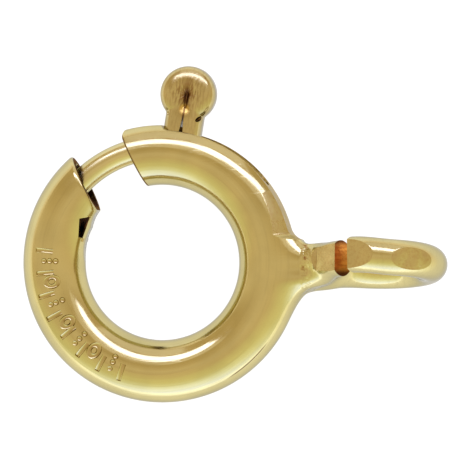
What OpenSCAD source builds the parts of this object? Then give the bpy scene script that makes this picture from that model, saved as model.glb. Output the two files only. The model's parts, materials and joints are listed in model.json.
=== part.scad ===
// Spring ring clasp: a hollow round ring with a gap, a sliding bolt that closes the gap,
// the folded pin that a thumbnail pulls, the coil spring behind the bolt, and a soldered open end ring.
// Millimetres. The origin is the middle of the main ring's eye. +X runs to the end ring.
// The clasp lies as it does on a table: on the far side of its main ring and on the end ring.
// Angles run anticlockwise round the main ring from +X, seen from above.

/* [Main ring] */
// Outer diameter of the main ring
ring_d = 6; // [5.4:0.1:8]
// Outer diameter of the ring's tube
tube_d = 1.34; // [1.26:0.02:1.5]
// Wall of the tube
tube_wall = 0.17; // [0.12:0.01:0.2]

/* [Gap] */
// Clear width of the gap, across its two parallel cuts
gap_w = 1.18; // [0.9:0.02:1.3]
// Direction of the cuts, in degrees
gap_dir = 116; // [112:1:120]
// How far the middle of the gap lies from the ring's centre, towards the left
gap_shift = 0.154; // [0.05:0.01:0.25]
// Radius that the outer corner of the right-hand mouth is rounded to
mouth_round = 0.2; // [0.05:0.01:0.3]

/* [Bolt] */
// Diameter of the bolt
bolt_d = 0.525; // [0.44:0.005:0.54]
// How far the bolt runs outside the middle of the tube
bolt_out = 0.126; // [0.05:0.002:0.13]
// How deep the closed bolt enters the left-hand mouth
bolt_reach = 0.23; // [0.1:0.01:0.4]
// How far the open bolt sinks behind the right-hand mouth
bolt_hide = 0.14; // [0.02:0.01:0.3]
// Length of bolt behind the pin
bolt_tail = 1.55; // [1:0.05:2]
// Diameter of the collar that the spring pushes on
collar_d = 0.74; // [0.68:0.01:0.76]
// Length of the collar
collar_len = 0.18; // [0.1:0.01:0.3]

/* [Pin] */
// Place of the pin round the ring, in degrees
pin_at = 81; // [78:0.5:84]
// Diameter of the pin's round head
head_d = 1.2; // [1:0.02:1.4]
// Thickness of the head, front to back
head_t = 0.84; // [0.7:0.02:0.96]
// Height of the head's middle above the ring's outer edge
head_up = 0.645; // [0.55:0.01:0.9]
// Diameter of the folded shank
shank_d = 0.815; // [0.7:0.005:0.83]
// Width of the split between the two legs at the ring
split_w = 0.08; // [0.04:0.01:0.14]
// Width of the closed fold above the split
fold_w = 0.02; // [0.01:0.005:0.03]
// Diameter of the tang that goes through the bolt
tang_d = 0.26; // [0.2:0.01:0.3]

/* [Slot] */
// Free play of the pin in its slot, on each side
slot_play = 0.02; // [0.01:0.005:0.03]
// Depth of the flattened track along the slot
track_depth = 0.175; // [0.16:0.005:0.19]
// Length of the track past the far end of the slot
track_past = 1.02; // [0.6:0.02:1.2]
// Radius of the track's run-out
track_end_r = 0.35; // [0.2:0.01:0.5]
// Wall left under the track
track_wall = 0.075; // [0.05:0.005:0.1]
// Depth of the flat filed beside the right-hand mouth
flat_depth = 0.08; // [0.03:0.01:0.1]
// Distance of that flat's middle from the mouth
flat_back = 0.68; // [0.5:0.01:0.8]

/* [Spring stop] */
// Distance of the pierced window from the left-hand mouth, along the tube
window_from = 0.52; // [0.4:0.01:0.7]
// Length of the window
window_len = 0.63; // [0.4:0.01:0.8]
// Width of the window
window_w = 0.92; // [0.6:0.02:1]
// Depth of the hollow filed into the inner side at the left-hand mouth
file_depth = 0.11; // [0.04:0.01:0.13]
// Radius of that hollow
file_r = 0.64; // [0.5:0.01:0.9]
// Thickness of the tab bent in at the window
tab_t = 0.1; // [0.06:0.01:0.16]
// Width of the tab
tab_w = 0.7; // [0.5:0.02:0.8]

/* [Spring] */
// Outer diameter of the coil
spring_d = 0.76; // [0.68:0.01:0.78]
// Diameter of the spring's wire
spring_wire = 0.11; // [0.08:0.01:0.13]
// Number of turns
spring_turns = 25; // [18:1:30]

/* [End ring] */
// Outer diameter of the end ring
end_d = 3; // [2.6:0.1:3.6]
// Diameter of the end ring's wire
end_wire = 0.77; // [0.6:0.01:0.84]
// Space between the main ring and the end ring, which the solder fills
end_space = 0.127; // [0.05:0.005:0.2]
// How far the end ring is turned about the line that joins the two rings, in degrees
end_roll = 7.2; // [0:0.2:10]
// Place of the split round the end ring, in degrees
cut_at = 119; // [110:1:130]
// Width of the split
cut_w = 0.3; // [0.1:0.01:0.4]
// Depth of the flats that the pliers left beside the split
plier_depth = 0.14; // [0.04:0.01:0.18]
// Depth of the single flat further round
nip_depth = 0.08; // [0.03:0.002:0.1]
// Turn from the split to the flat on its free side, in degrees
plier_free = 5; // [3:1:24]
// Turn from the split to the flat on its soldered side, in degrees
plier_held = 11; // [8:1:28]
// Turn from the split to the single flat, in degrees
nip_turn = 65; // [50:1:80]

/* [Neck] */
// Radius of the solder fillet between the rings
neck_fillet = 0.78; // [0.6:0.01:0.9]
// Half width of the neck at its waist
neck_w = 0.45; // [0.4:0.01:0.5]
// Thickness of the neck as a share of its width
neck_flat = 0.47; // [0.4:0.01:0.5]
// How far the neck sits to the lower side of the ring
neck_drop = 0.13; // [0:0.01:0.16]
// Diameter of the neck's round core
core_d = 0.66; // [0.5:0.01:0.7]

/* [Hidden] */
$fn = 96;
gold = "goldenrod";
pale_gold = "khaki";
steel = "silver";

eps = 0.01;
far = ring_d;
ring_r = (ring_d - tube_d) / 2;
bore_d = tube_d - 2 * tube_wall;
// Turns a length along the circle of radius r into degrees.
function arc_deg(len, r) = len / r * 180 / PI;

// The two cuts, as distances from the centre across them, and where they cross a circle of radius r.
cut_turn = gap_dir - 90;
left_cut = -gap_shift - gap_w / 2;
right_cut = -gap_shift + gap_w / 2;
function cut_deg(cut, r) = cut_turn + acos(cut / r);

bolt_r = ring_r + bolt_out;
tip_deg = cut_deg(left_cut, bolt_r) + arc_deg(bolt_reach, bolt_r);
travel = tip_deg - cut_deg(right_cut, bolt_r) + arc_deg(bolt_hide, bolt_r);
tail_deg = pin_at - arc_deg(bolt_tail, bolt_r);
collar_deg = tail_deg - arc_deg(collar_len, ring_r);

// The pin, its slot and the flattened track.
slot_w = shank_d + 2 * slot_play;
slot_end = pin_at - travel;
track_r = ring_d / 2 - track_depth;
track_deg = slot_end - arc_deg(slot_w / 2 + track_past, track_r);
track_to = pin_at + arc_deg(slot_w / 4, track_r);
shallow_from = track_deg - arc_deg(track_end_r, track_r);
shallow_to = track_to + arc_deg(track_end_r, track_r);
head_r = ring_d / 2 + head_up;
seat_r = bolt_r + bolt_d / 2 + slot_play;
tang_end = bolt_r - bolt_d / 2;
eye_h = head_d * 0.28;
eye_w = fold_w * 2.5;
split_top = head_d * 0.4;

// The window and its tab, which the spring rests on.
window_deg = cut_deg(left_cut, ring_r) + arc_deg(window_from, ring_r);
window_end = window_deg + arc_deg(window_len, ring_r);
tab_end = window_end + arc_deg(tab_t, ring_r);
file_deg = cut_deg(left_cut, ring_r) + arc_deg(window_from, ring_r) * 0.8;
file_at = ring_d / 2 - tube_d + file_depth - file_r;

// The spring fills the tube from the tab round to the collar.
spring_gap = arc_deg(slot_play, ring_r);
spring_side = arc_deg(spring_wire / 2, ring_r);
spring_from = tab_end - 360 + spring_gap + spring_side;
spring_to = collar_deg - spring_gap - spring_side;
spring_r = (spring_d - spring_wire) / 2;

// The end ring stands across the main ring.
end_r = (end_d - end_wire) / 2;
end_x = ring_d / 2 + end_space + end_d / 2;
cut_deg_w = arc_deg(cut_w, end_r);
neck_end = ring_d / 2 + end_space + end_wire / 3;

// The clasp leans by this much when it lies on its main ring and its end ring.
lean = asin((end_r * cos(end_roll) + end_wire / 2 - tube_d / 2) / (end_x + ring_r));

module lying() {
    rotate([0, -lean, 0]) children();
}

// A torus about Z: radius of its circle, diameter of its section.
module torus(r, d) {
    rotate_extrude() translate([r, 0]) circle(d = d);
}

// A stretch of a round bent rod, between two angles.
module bent_rod(r, d, from, to) {
    rotate([0, 0, from]) rotate_extrude(angle = to - from) translate([r, 0]) circle(d = d);
}

// A stretch of a flat band about Z: radii, width along Z and two angles.
module band(r1, r2, w, from, to) {
    rotate([0, 0, from]) rotate_extrude(angle = to - from)
        translate([r1, -w / 2]) square([r2 - r1, w]);
}

// Puts its child on the ray at an angle, with the child's +X outwards.
module on_ray(deg, r) {
    rotate([0, 0, deg]) translate([r, 0, 0]) children();
}

// The space between the two parallel cuts, with the rounded corner of the right-hand mouth.
module gap_cut() {
    corner_y = sqrt(pow(ring_d / 2 - flat_depth, 2) - pow(right_cut, 2));
    rotate([0, 0, cut_turn]) {
        translate([left_cut, 0, -tube_d]) cube([gap_w, far, 2 * tube_d]);
        translate([right_cut, corner_y - mouth_round, -tube_d]) linear_extrude(2 * tube_d) difference() {
            translate([-eps, 0]) square([mouth_round + eps, 2 * mouth_round]);
            translate([mouth_round, 0]) circle(r = mouth_round);
        }
    }
}

// The flattened track on the outer side, with a run-out at each end.
module track_cut() {
    band(track_r, far, 2 * tube_d, track_deg, track_to);
    for (deg = [track_deg, track_to])
        on_ray(deg, track_r + track_end_r) cylinder(r = track_end_r, h = 2 * tube_d, center = true);
}

// The flat filed on the outer side beside the right-hand mouth.
module mouth_flat() {
    on_ray(cut_deg(right_cut, ring_d / 2) - arc_deg(flat_back, ring_d / 2), ring_d / 2 - flat_depth)
        translate([0, -tube_d, -tube_d]) cube([tube_d, 2 * tube_d, 2 * tube_d]);
}

// The slot that the pin slides in.
module slot_cut() {
    band(ring_r, far, slot_w, slot_end, pin_at);
    for (deg = [slot_end, pin_at])
        on_ray(deg, ring_r) rotate([0, 90, 0]) cylinder(d = slot_w, h = tube_d);
}

// The bore, shallower under the track.
module bore() {
    difference() {
        torus(ring_r, bore_d);
        band(track_r - track_wall, far, 2 * tube_d, shallow_from, shallow_to);
    }
}

// The concave solder neck, wider than it is thick, and its round core.
module neck() {
    translate([ring_d / 2 - tube_wall, -neck_drop / 2, 0]) rotate([0, 90, 0])
        cylinder(d = core_d, h = end_space + tube_wall + end_wire / 2);
    translate([0, -neck_drop, 0]) scale([1, 1, neck_flat]) rotate([0, 90, 0]) rotate_extrude() {
        difference() {
            translate([0, neck_end - neck_fillet]) square([neck_w + neck_fillet, neck_fillet]);
            translate([neck_w + neck_fillet, neck_end]) circle(r = neck_fillet);
        }
        intersection() {
            translate([0, neck_end]) circle(r = neck_w);
            translate([0, neck_end - eps]) square([neck_w, neck_w + eps]);
        }
    }
}

// A flat pressed into the end ring's outer side: its place round the ring and its depth.
module end_flat(deg, depth) {
    rotate([0, 0, deg]) translate([end_d / 2 - depth, -end_wire, -end_wire])
        cube([end_wire, 2 * end_wire, 2 * end_wire]);
}

// The open end ring in its own plane, with its split and the marks of the pliers.
module end_ring_flat() {
    difference() {
        bent_rod(end_r, end_wire, cut_at + cut_deg_w / 2, cut_at - cut_deg_w / 2 + 360);
        end_flat(cut_at - plier_free, plier_depth);
        end_flat(cut_at + plier_held, plier_depth);
        end_flat(cut_at - nip_turn, nip_depth);
    }
}

module end_ring() {
    translate([end_x, 0, 0]) rotate([90 - end_roll, 0, 0]) end_ring_flat();
}

module ring_body() {
    color(gold) lying() {
        difference() {
            union() {
                difference() {
                    torus(ring_r, tube_d);
                    track_cut();
                    mouth_flat();
                }
                neck();
                end_ring();
            }
            bore();
            gap_cut();
            slot_cut();
            on_ray(file_deg, file_at) cylinder(r = file_r, h = 2 * tube_d, center = true);
            band(ring_r - tube_d, ring_r - spring_d / 4, window_w, window_deg, window_end);
        }
        band(ring_r - tube_d / 2 + tube_wall / 3, ring_r + spring_d / 4, tab_w, window_end, tab_end);
    }
}

module bolt() {
    color(pale_gold) lying() difference() {
        union() {
            bent_rod(bolt_r, bolt_d, tail_deg - 1, tip_deg - arc_deg(bolt_d / 2, bolt_r));
            on_ray(tip_deg - arc_deg(bolt_d / 2, bolt_r), bolt_r) sphere(d = bolt_d - eps);
            bent_rod(ring_r, collar_d, collar_deg, tail_deg);
        }
        on_ray(pin_at, ring_r - tube_d / 2) rotate([0, 90, 0]) cylinder(d = tang_d + slot_play, h = tube_d);
    }
}

// The outline of the eye, the closed fold and the split, cut through from front to back.
// X runs outwards from the head's middle, Y across the pin.
module fold_outline() {
    leg_end = seat_r - head_r - eps;
    polygon([
        [eye_h * 0.4, 0],
        [-eye_h * 0.3, eye_w / 2],
        [-eye_h, fold_w / 2],
        [-split_top, fold_w / 2],
        [leg_end, split_w / 2],
        [leg_end, -split_w / 2],
        [-split_top, -fold_w / 2],
        [-eye_h, -fold_w / 2],
        [-eye_h * 0.3, -eye_w / 2]
    ]);
}

module pin() {
    ball = head_t / 2;
    color(gold) lying() on_ray(pin_at, 0) {
        difference() {
            union() {
                translate([head_r, 0, 0]) rotate_extrude() intersection() {
                    translate([head_d / 2 - ball, 0]) circle(r = ball);
                    translate([0, -ball]) square([head_d, head_t]);
                }
                translate([head_r, 0, 0]) cylinder(r = head_d / 2 - ball + eps, h = head_t, center = true);
                translate([seat_r, 0, 0]) rotate([0, 90, 0]) cylinder(d = shank_d, h = head_r - seat_r);
            }
            translate([head_r, 0, -head_t]) linear_extrude(2 * head_t) fold_outline();
        }
        translate([tang_end, 0, 0]) rotate([0, 90, 0])
            cylinder(d = tang_d, h = head_r - split_top - tang_end);
    }
}

// The coil: a wire of five sides, swept along a helix that is bent round the ring.
module spring() {
    sides = 5;
    steps = 12;
    n = spring_turns * steps;
    function at(i) = spring_from + (spring_to - spring_from) * i / n;
    function turn(i) = 360 * i / steps;
    // Unit vectors at step i: outwards from the ring, along the ring, and outwards from the coil.
    function ring_out(i) = [cos(at(i)), sin(at(i)), 0];
    function ring_along(i) = [-sin(at(i)), cos(at(i)), 0];
    function coil_out(i) = ring_out(i) * cos(turn(i)) + [0, 0, sin(turn(i))];
    function middle(i) = ring_out(i) * ring_r + coil_out(i) * spring_r;
    points = [for (i = [0 : n]) for (k = [0 : sides - 1])
        middle(i) + spring_wire / 2 * (coil_out(i) * cos(360 * k / sides) + ring_along(i) * sin(360 * k / sides))];
    walls = [for (i = [0 : n - 1]) for (k = [0 : sides - 1])
        let (a = i * sides + k, b = i * sides + (k + 1) % sides)
        each [[a, b, b + sides], [a, b + sides, a + sides]]];
    start_cap = [for (k = [sides - 1 : -1 : 0]) k];
    end_cap = [for (k = [0 : sides - 1]) n * sides + k];
    color(steel) lying() polyhedron(points, concat(walls, [start_cap, end_cap]), convexity = 10);
}

ring_body();
bolt();
pin();
spring();
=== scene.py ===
"""Spring ring clasp: the detailed pieces, their finishes, the camera and the light.

Each piece is modelled in millimetres in the main ring's own plane, with the ring's middle at the origin
and the end ring towards +X. It is then leaned over, as the clasp lies on a table, and scaled to metres.
Angles run anticlockwise round the main ring from +X, seen from above, and are in degrees.
"""
import json
import math
import random

import bpy
import numpy as np
from bpy.props import FloatProperty, FloatVectorProperty, IntProperty, PointerProperty
from mathutils import Matrix, Vector


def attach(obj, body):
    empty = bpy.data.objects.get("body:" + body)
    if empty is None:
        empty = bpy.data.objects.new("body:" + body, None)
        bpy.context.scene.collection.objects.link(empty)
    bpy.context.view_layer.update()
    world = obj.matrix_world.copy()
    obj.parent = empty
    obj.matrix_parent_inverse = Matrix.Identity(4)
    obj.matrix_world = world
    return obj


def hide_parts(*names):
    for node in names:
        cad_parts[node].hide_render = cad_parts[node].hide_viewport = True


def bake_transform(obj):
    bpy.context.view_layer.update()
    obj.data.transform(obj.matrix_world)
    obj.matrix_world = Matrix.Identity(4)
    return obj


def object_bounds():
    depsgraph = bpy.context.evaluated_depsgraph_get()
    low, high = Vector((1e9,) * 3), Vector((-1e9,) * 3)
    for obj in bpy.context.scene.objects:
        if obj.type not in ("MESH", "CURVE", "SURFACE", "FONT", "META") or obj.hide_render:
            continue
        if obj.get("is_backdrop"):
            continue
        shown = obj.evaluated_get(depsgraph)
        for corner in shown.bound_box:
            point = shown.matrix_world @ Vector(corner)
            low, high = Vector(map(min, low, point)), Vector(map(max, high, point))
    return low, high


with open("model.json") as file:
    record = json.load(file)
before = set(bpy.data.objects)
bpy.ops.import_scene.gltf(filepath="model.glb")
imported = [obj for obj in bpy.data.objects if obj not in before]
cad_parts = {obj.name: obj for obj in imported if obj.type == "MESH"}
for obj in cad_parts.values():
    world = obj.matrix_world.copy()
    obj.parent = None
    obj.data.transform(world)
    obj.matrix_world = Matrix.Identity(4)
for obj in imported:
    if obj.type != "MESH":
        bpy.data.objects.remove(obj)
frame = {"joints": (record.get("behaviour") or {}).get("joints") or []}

bl_info = {
    "name": "Spring ring clasp",
    "version": (1, 0, 0),
    "blender": (4, 5, 0),
    "location": "View3D > Sidebar > Clasp",
    "description": "Builds a spring ring clasp with its sliding bolt, its pin and its open end ring",
    "category": "Add Mesh",
}

MM = 0.001
RING_AXIS = Vector(frame["joints"][0]["axis"])
LEAN = math.atan2(-RING_AXIS.x, RING_AXIS.z)
LAID_DOWN = Matrix.Scale(MM, 4) @ Matrix.Rotation(-LEAN, 4, "Y")

# The rotation that stands a flat profile up in the XZ plane.
UPRIGHT = (math.pi / 2, 0, 0)
# What is cut from the main ring is cut this far out and this high in all, which clears its tube.
FAR, HIGH = 6, 3
# Along the tube: from the left-hand cut to the window, the window's length, and the tab at its far end.
WINDOW_FROM, WINDOW_LONG, TAB_THICK = 0.52, 0.63, 0.1
# How far the bolt's tip goes into the left-hand mouth, its tail behind the pin, and the collar's length.
BOLT_HIDE, BOLT_TAIL, COLLAR_LONG = 0.23, 1.55, 0.18
# The radius of the pin's tang and of the bolt's hole for it.
TANG_R, TANG_HOLE_R = 0.13, 0.14

# The photo's scale in metres a pixel, its side, and where the ring's middle falls in it, both in pixels.
PIXEL = 0.02141 * MM
PICTURE = 470
RING_IN_PICTURE = (162.4, 262.4)


# Sizes and finishes

def length(label, about, millimetres, lowest=0.0):
    return FloatProperty(name=label, description=about, default=millimetres * MM, min=lowest * MM,
                         unit="LENGTH", subtype="DISTANCE", precision=5)


def angle(label, about, degrees):
    return FloatProperty(name=label, description=about, default=math.radians(degrees),
                         unit="ROTATION", subtype="ANGLE")


def colour(label, about, rgb):
    return FloatVectorProperty(name=label, description=about, default=rgb, size=3, min=0.0, max=1.0,
                               subtype="COLOR")


class ClaspSizes(bpy.types.PropertyGroup):
    ring_r: length("Ring radius", "Radius of the circle that the main tube's middle follows", 2.33)
    tube_r: length("Tube radius", "Outer radius of the main ring's tube", 0.67)
    bore_r: length("Bore radius", "Radius of the hollow in the tube", 0.5)
    gap_w: length("Gap width", "Clear width of the gap across its two cuts", 1.18)
    gap_shift: length("Gap shift", "How far the middle of the gap lies from the ring's middle", 0.154)
    gap_dir: angle("Gap direction", "Direction of the two cuts", 116)
    bolt_ring_r: length("Bolt circle", "Radius of the circle that the bolt's middle follows", 2.456)
    bolt_r: length("Bolt radius", "Radius of the bolt", 0.2625)
    collar_r: length("Collar radius", "Radius of the collar that the spring pushes on", 0.37)
    pin_at: angle("Pin place", "Place of the pin round the ring", 81)
    head_r: length("Pin head radius", "Radius of the pin's round head", 0.6)
    head_at: length("Pin head height", "Distance of the head's middle from the ring's middle", 3.645)
    shank_r: length("Shank radius", "Radius of the folded shank", 0.4075)
    slot_w: length("Slot width", "Width of the slot that the pin slides in", 0.855)
    slot_end: angle("Slot end", "Place of the slot's far end", 44.5)
    track_r: length("Track radius", "Distance of the flattened track from the ring's middle", 2.825)
    track_end: angle("Track end", "Place of the track's far end", 15.15)
    end_ring_r: length("End ring radius", "Radius of the circle that the end ring's wire follows", 1.115)
    end_wire_r: length("End wire radius", "Radius of the end ring's wire", 0.385)
    end_ring_x: length("End ring distance", "Distance between the middles of the two rings", 4.627)
    end_ring_drop: length("End ring drop", "How far the end ring sits to one side", -0.03, lowest=-1.0)
    end_roll: angle("End ring turn", "Turn of the end ring about the line that joins the rings", 8)
    cut_at: angle("Split place", "Place of the split round the end ring", 119.3)
    cut_w: length("Split width", "Width of the split in the end ring", 0.3)
    coil_r: length("Coil radius", "Radius that the middle of the spring's wire follows", 0.325)
    spring_wire_r: length("Spring wire radius", "Radius of the spring's wire", 0.055)
    spring_turns: IntProperty(name="Spring turns", description="Turns of the whole spring", default=25, min=4)


class ClaspFinish(bpy.types.PropertyGroup):
    gold: colour("Gold", "Colour of the polished yellow gold", (0.575, 0.50, 0.235))
    bolt_gold: colour("Bolt gold", "Colour of the paler gold of the bolt", (0.62, 0.55, 0.28))
    cut_metal: colour("Cut metal", "Colour of the raw metal that a cut lays bare", (0.50, 0.17, 0.03))
    # The dark film inside the tube is also painted shade in its hollow.
    tarnish_and_shade: colour("Tarnish", "Colour of the dark film inside the tube", (0.030, 0.014, 0.006))
    spring_steel: colour("Spring steel", "Colour of the spring's wire", (0.42, 0.40, 0.38))
    paper: colour("Table", "Colour of the table", (0.25, 0.25, 0.25))
    roughness: FloatProperty(name="Roughness", description="Roughness of the polished gold", default=0.13,
                             min=0.0, max=1.0, subtype="FACTOR")


class InMillimetres:
    """The sizes as plain numbers: lengths in millimetres, angles in degrees."""

    def __init__(self, group):
        for key, prop in group.bl_rna.properties.items():
            if key in ("rna_type", "name"):
                continue
            value = getattr(group, key)
            if prop.subtype == "DISTANCE":
                value /= MM
            elif prop.subtype == "ANGLE":
                value = math.degrees(value)
            setattr(self, key, value)


def sizes():
    return InMillimetres(bpy.context.scene.clasp_sizes)


# Places and turns

def on_ray(degrees, radius, z=0.0):
    turn = math.radians(degrees)
    return Vector((radius * math.cos(turn), radius * math.sin(turn), z))


def arc_deg(distance, radius):
    """Turns a length along a circle into degrees."""
    return math.degrees(distance / radius)


def turned(degrees, axis="Z"):
    return Matrix.Rotation(math.radians(degrees), 4, axis)


def moved(x, y=0):
    return Matrix.Translation((x, y, 0))


def smooth_step(value, low, high):
    share = min(max((value - low) / (high - low), 0.0), 1.0)
    return share * share * (3 - 2 * share)


def end_ring_place(s):
    """Stands the flat end ring up across the main ring."""
    return moved(s.end_ring_x, s.end_ring_drop) @ turned(90 - s.end_roll, "X")


def gap_cuts(s):
    """How far the left-hand and the right-hand cut lie from the ring's middle, across the gap."""
    return -s.gap_shift - s.gap_w / 2, -s.gap_shift + s.gap_w / 2


def past_left_cut(s, distance, radius):
    """The place round the ring that lies a distance past the left-hand cut, along a circle."""
    left, _ = gap_cuts(s)
    cut_line = s.gap_dir - 90 + math.degrees(math.acos(left / radius))
    return cut_line + arc_deg(distance, radius)


def bolt_tail(s):
    """The places round the ring of the two ends of the collar, which is on the bolt's tail."""
    tail = s.pin_at - arc_deg(BOLT_TAIL, s.bolt_ring_r)
    return tail, tail - arc_deg(COLLAR_LONG, s.ring_r)


# Modelling steps

def deselect():
    if bpy.context.object and bpy.context.object.mode != "OBJECT":
        bpy.ops.object.mode_set(mode="OBJECT")
    bpy.ops.object.select_all(action="DESELECT")


def select(*pieces):
    """Selects the pieces alone and makes the first one active."""
    deselect()
    for piece in pieces:
        piece.select_set(True)
    bpy.context.view_layer.objects.active = pieces[0]
    return pieces[0]


def select_whole():
    bpy.ops.mesh.select_all(action="SELECT")


def edit(piece):
    """Opens the piece for editing with all of it selected."""
    select(piece)
    bpy.ops.object.mode_set(mode="EDIT")
    bpy.ops.mesh.select_mode(type="VERT")
    select_whole()


def edit_edges(piece, chosen):
    """Opens the piece for editing with only those edges selected whose ends both pass the test."""
    select(piece)
    bpy.ops.object.mode_set(mode="EDIT")
    bpy.ops.mesh.select_mode(type="EDGE")
    bpy.ops.mesh.select_all(action="DESELECT")
    done()
    for edge in piece.data.edges:
        edge.select = all(chosen(piece.data.vertices[i].co) for i in edge.vertices)
    bpy.ops.object.mode_set(mode="EDIT")


def done():
    bpy.ops.object.mode_set(mode="OBJECT")


def added(name):
    """Names the primitive that was just added, and puts its place into its mesh."""
    piece = bpy.context.object
    piece.name = piece.data.name = name
    bpy.ops.object.transform_apply(location=True, rotation=True, scale=True)
    return piece


def linked(name, data):
    """Puts an object with this data into the scene."""
    piece = bpy.data.objects.new(name, data)
    bpy.context.scene.collection.objects.link(piece)
    return piece


def from_points(name, points, faces):
    mesh = bpy.data.meshes.new(name)
    mesh.from_pydata(points, [], faces)
    piece = linked(name, mesh)
    face_outwards(piece)
    return piece


def join(name, *pieces):
    piece = select(*pieces)
    bpy.ops.object.join()
    piece.name = piece.data.name = name
    return piece


def apply_modifier(piece, kind, **settings):
    select(piece)
    modifier = piece.modifiers.new(kind.title(), kind)
    for key, value in settings.items():
        setattr(modifier, key, value)
    bpy.ops.object.modifier_apply(modifier=modifier.name)


def combine(piece, other, operation):
    """Cuts the other shape out of the piece, or adds it, and removes the other shape."""
    apply_modifier(piece, "BOOLEAN", object=other, operation=operation, solver="MANIFOLD",
                   material_mode="TRANSFER")
    if not piece.data.polygons:
        raise RuntimeError(f"nothing is left of {piece.name} after {other.name}")
    bpy.data.objects.remove(other)


def cut(piece, other):
    combine(piece, other, "DIFFERENCE")


def add(piece, other):
    combine(piece, other, "UNION")


def remesh(piece, voxel):
    """Makes the piece one closed surface of small even faces."""
    apply_modifier(piece, "REMESH", mode="VOXEL", voxel_size=voxel, use_smooth_shade=True)


def relax(piece, iterations):
    apply_modifier(piece, "SMOOTH", factor=0.5, iterations=iterations)


def face_outwards(piece):
    edit(piece)
    bpy.ops.mesh.normals_make_consistent(inside=False)
    done()


def given(piece, finish):
    """Gives a piece its finish. A cutter leaves its own finish on what it bares."""
    piece.data.materials.clear()
    piece.data.materials.append(bpy.data.materials[finish])
    return piece


def lay_down(piece, smooth_angle=35):
    """Leans the finished piece as the clasp lies, turns millimetres into metres and smooths its shading."""
    piece.data.transform(LAID_DOWN)
    select(piece)
    bpy.ops.object.shade_smooth_by_angle(angle=math.radians(smooth_angle))


# Plain shapes

def box(name, size, place):
    bpy.ops.mesh.primitive_cube_add(size=1, scale=size, location=place)
    return added(name)


def rod(name, radius, depth, place, turn=(0, 0, 0), corners=96):
    bpy.ops.mesh.primitive_cylinder_add(vertices=corners, radius=radius, depth=depth, location=place,
                                        rotation=[math.radians(degrees) for degrees in turn])
    return added(name)


def ball(name, radius, place=(0, 0, 0), scale=(1, 1, 1), turn=0, segments=32, rings=20):
    bpy.ops.mesh.primitive_uv_sphere_add(segments=segments, ring_count=rings, radius=radius, location=place,
                                         scale=scale, rotation=(0, 0, math.radians(turn)))
    return added(name)


def hoop(name, ring_r, wire_r, around, corners, z=0.0):
    """A round wire in a full circle about Z."""
    bpy.ops.mesh.primitive_torus_add(major_radius=ring_r, minor_radius=wire_r, major_segments=around,
                                     minor_segments=corners, location=(0, 0, z))
    return added(name)


def circle_profile(middle, radius, corners):
    bpy.ops.mesh.primitive_circle_add(vertices=corners, radius=radius, location=(middle, 0, 0),
                                      rotation=UPRIGHT)


def oblong_profile(middle, thick, broad):
    bpy.ops.mesh.primitive_plane_add(size=1, location=(middle, 0, 0), rotation=UPRIGHT)
    bpy.context.object.scale = (thick, broad, 1)


def swept(name, start, end, steps):
    """Spins the profile that was just made in the XZ plane round Z, from one angle to the other."""
    piece = added(name)
    piece.data.transform(turned(start))
    edit(piece)
    # Spin turns clockwise about the axis that it is given, so it is given the downward one.
    bpy.ops.mesh.spin(steps=steps, angle=math.radians(end - start), center=(0, 0, 0), axis=(0, 0, -1))
    select_whole()
    bpy.ops.mesh.remove_doubles(threshold=1e-4)
    select_whole()
    bpy.ops.mesh.fill_holes(sides=0)
    done()
    face_outwards(piece)
    return piece


def bent_rod(name, ring_r, radius, start, end, steps, corners):
    circle_profile(ring_r, radius, corners)
    return swept(name, start, end, steps)


def band(name, inner, outer, width, start, end, steps):
    """A stretch of a flat band round Z, between two radii."""
    oblong_profile((inner + outer) / 2, outer - inner, width)
    return swept(name, start, end, steps)


# The main ring and the end ring, soldered together

def neck_horn():
    """The solder neck before it is melted to its shape: a flat horn that bridges the two rings. It is widest
    inside the main ring, narrows in a hollow curve to its waist, and ends in a dome inside the end ring."""
    flare, waist, flat, drop, waist_x, steps = 0.78, 0.45, 0.62, 0.13, 3.384, 14
    dome_share, dome_steps = 0.9, 6
    bpy.ops.mesh.primitive_circle_add(vertices=64, radius=waist + flare, location=(waist_x - flare, 0, 0),
                                      rotation=(0, math.pi / 2, 0))
    horn = added("neck horn")
    edit(horn)
    width = waist + flare
    widths = [(flare / steps, waist + flare - math.sqrt(flare ** 2 - (flare * (1 - step / steps)) ** 2))
              for step in range(1, steps + 1)]
    widths += [(waist * dome_share / dome_steps, waist * math.sqrt(1 - (dome_share * step / dome_steps) ** 2))
               for step in range(1, dome_steps + 1)]
    for forward, wanted in widths:
        bpy.ops.mesh.extrude_region_move(TRANSFORM_OT_translate={"value": (forward, 0, 0)})
        bpy.ops.transform.resize(value=(1, wanted / width, wanted / width), center_override=(0, 0, 0))
        width = wanted
    select_whole()
    bpy.ops.mesh.fill_holes(sides=0)
    select_whole()
    bpy.ops.transform.resize(value=(1, 1, flat), center_override=(0, 0, 0))
    bpy.ops.transform.translate(value=(0, -drop, 0))
    done()
    face_outwards(horn)
    return horn


def outside_wire(points, ring_r, wire_r):
    """How far points lie outside a round wire that is bent into a circle round Z."""
    return np.hypot(np.hypot(points[:, 0], points[:, 1]) - ring_r, points[:, 2]) - wire_r


def outside_soldered_rings(s, points):
    """How far points lie outside the two rings and the solder that fills the corner between them.

    The solder runs out thin along both. It reaches far along the main ring, and less far along the end ring's
    wire, where it reaches further on the lower side (-Y), and above and below the ring's plane."""
    reach_on_main, reach_on_end, more_low, more_above = 1.1, 0.36, 0.6, 0.5
    more_from, run = 0.1, 0.4
    main = outside_wire(points, s.ring_r, s.tube_r)
    to_flat = np.array(end_ring_place(s).inverted())
    end = outside_wire(points @ to_flat[:3, :3].T + to_flat[:3, 3], s.end_ring_r, s.end_wire_r)
    low_side = np.clip((-more_from - points[:, 1]) / run, 0, 1)
    above = np.clip((np.abs(points[:, 2]) - more_from) / run, 0, 1)
    reach = (reach_on_end + more_low * low_side ** 2 * (3 - 2 * low_side)
             + more_above * above ** 2 * (3 - 2 * above))
    end = end * reach / reach_on_main
    near = np.clip(1 - np.abs(main - end) / reach, 0, None)
    return np.minimum(main, end) - near ** 2 * reach / 4


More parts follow.
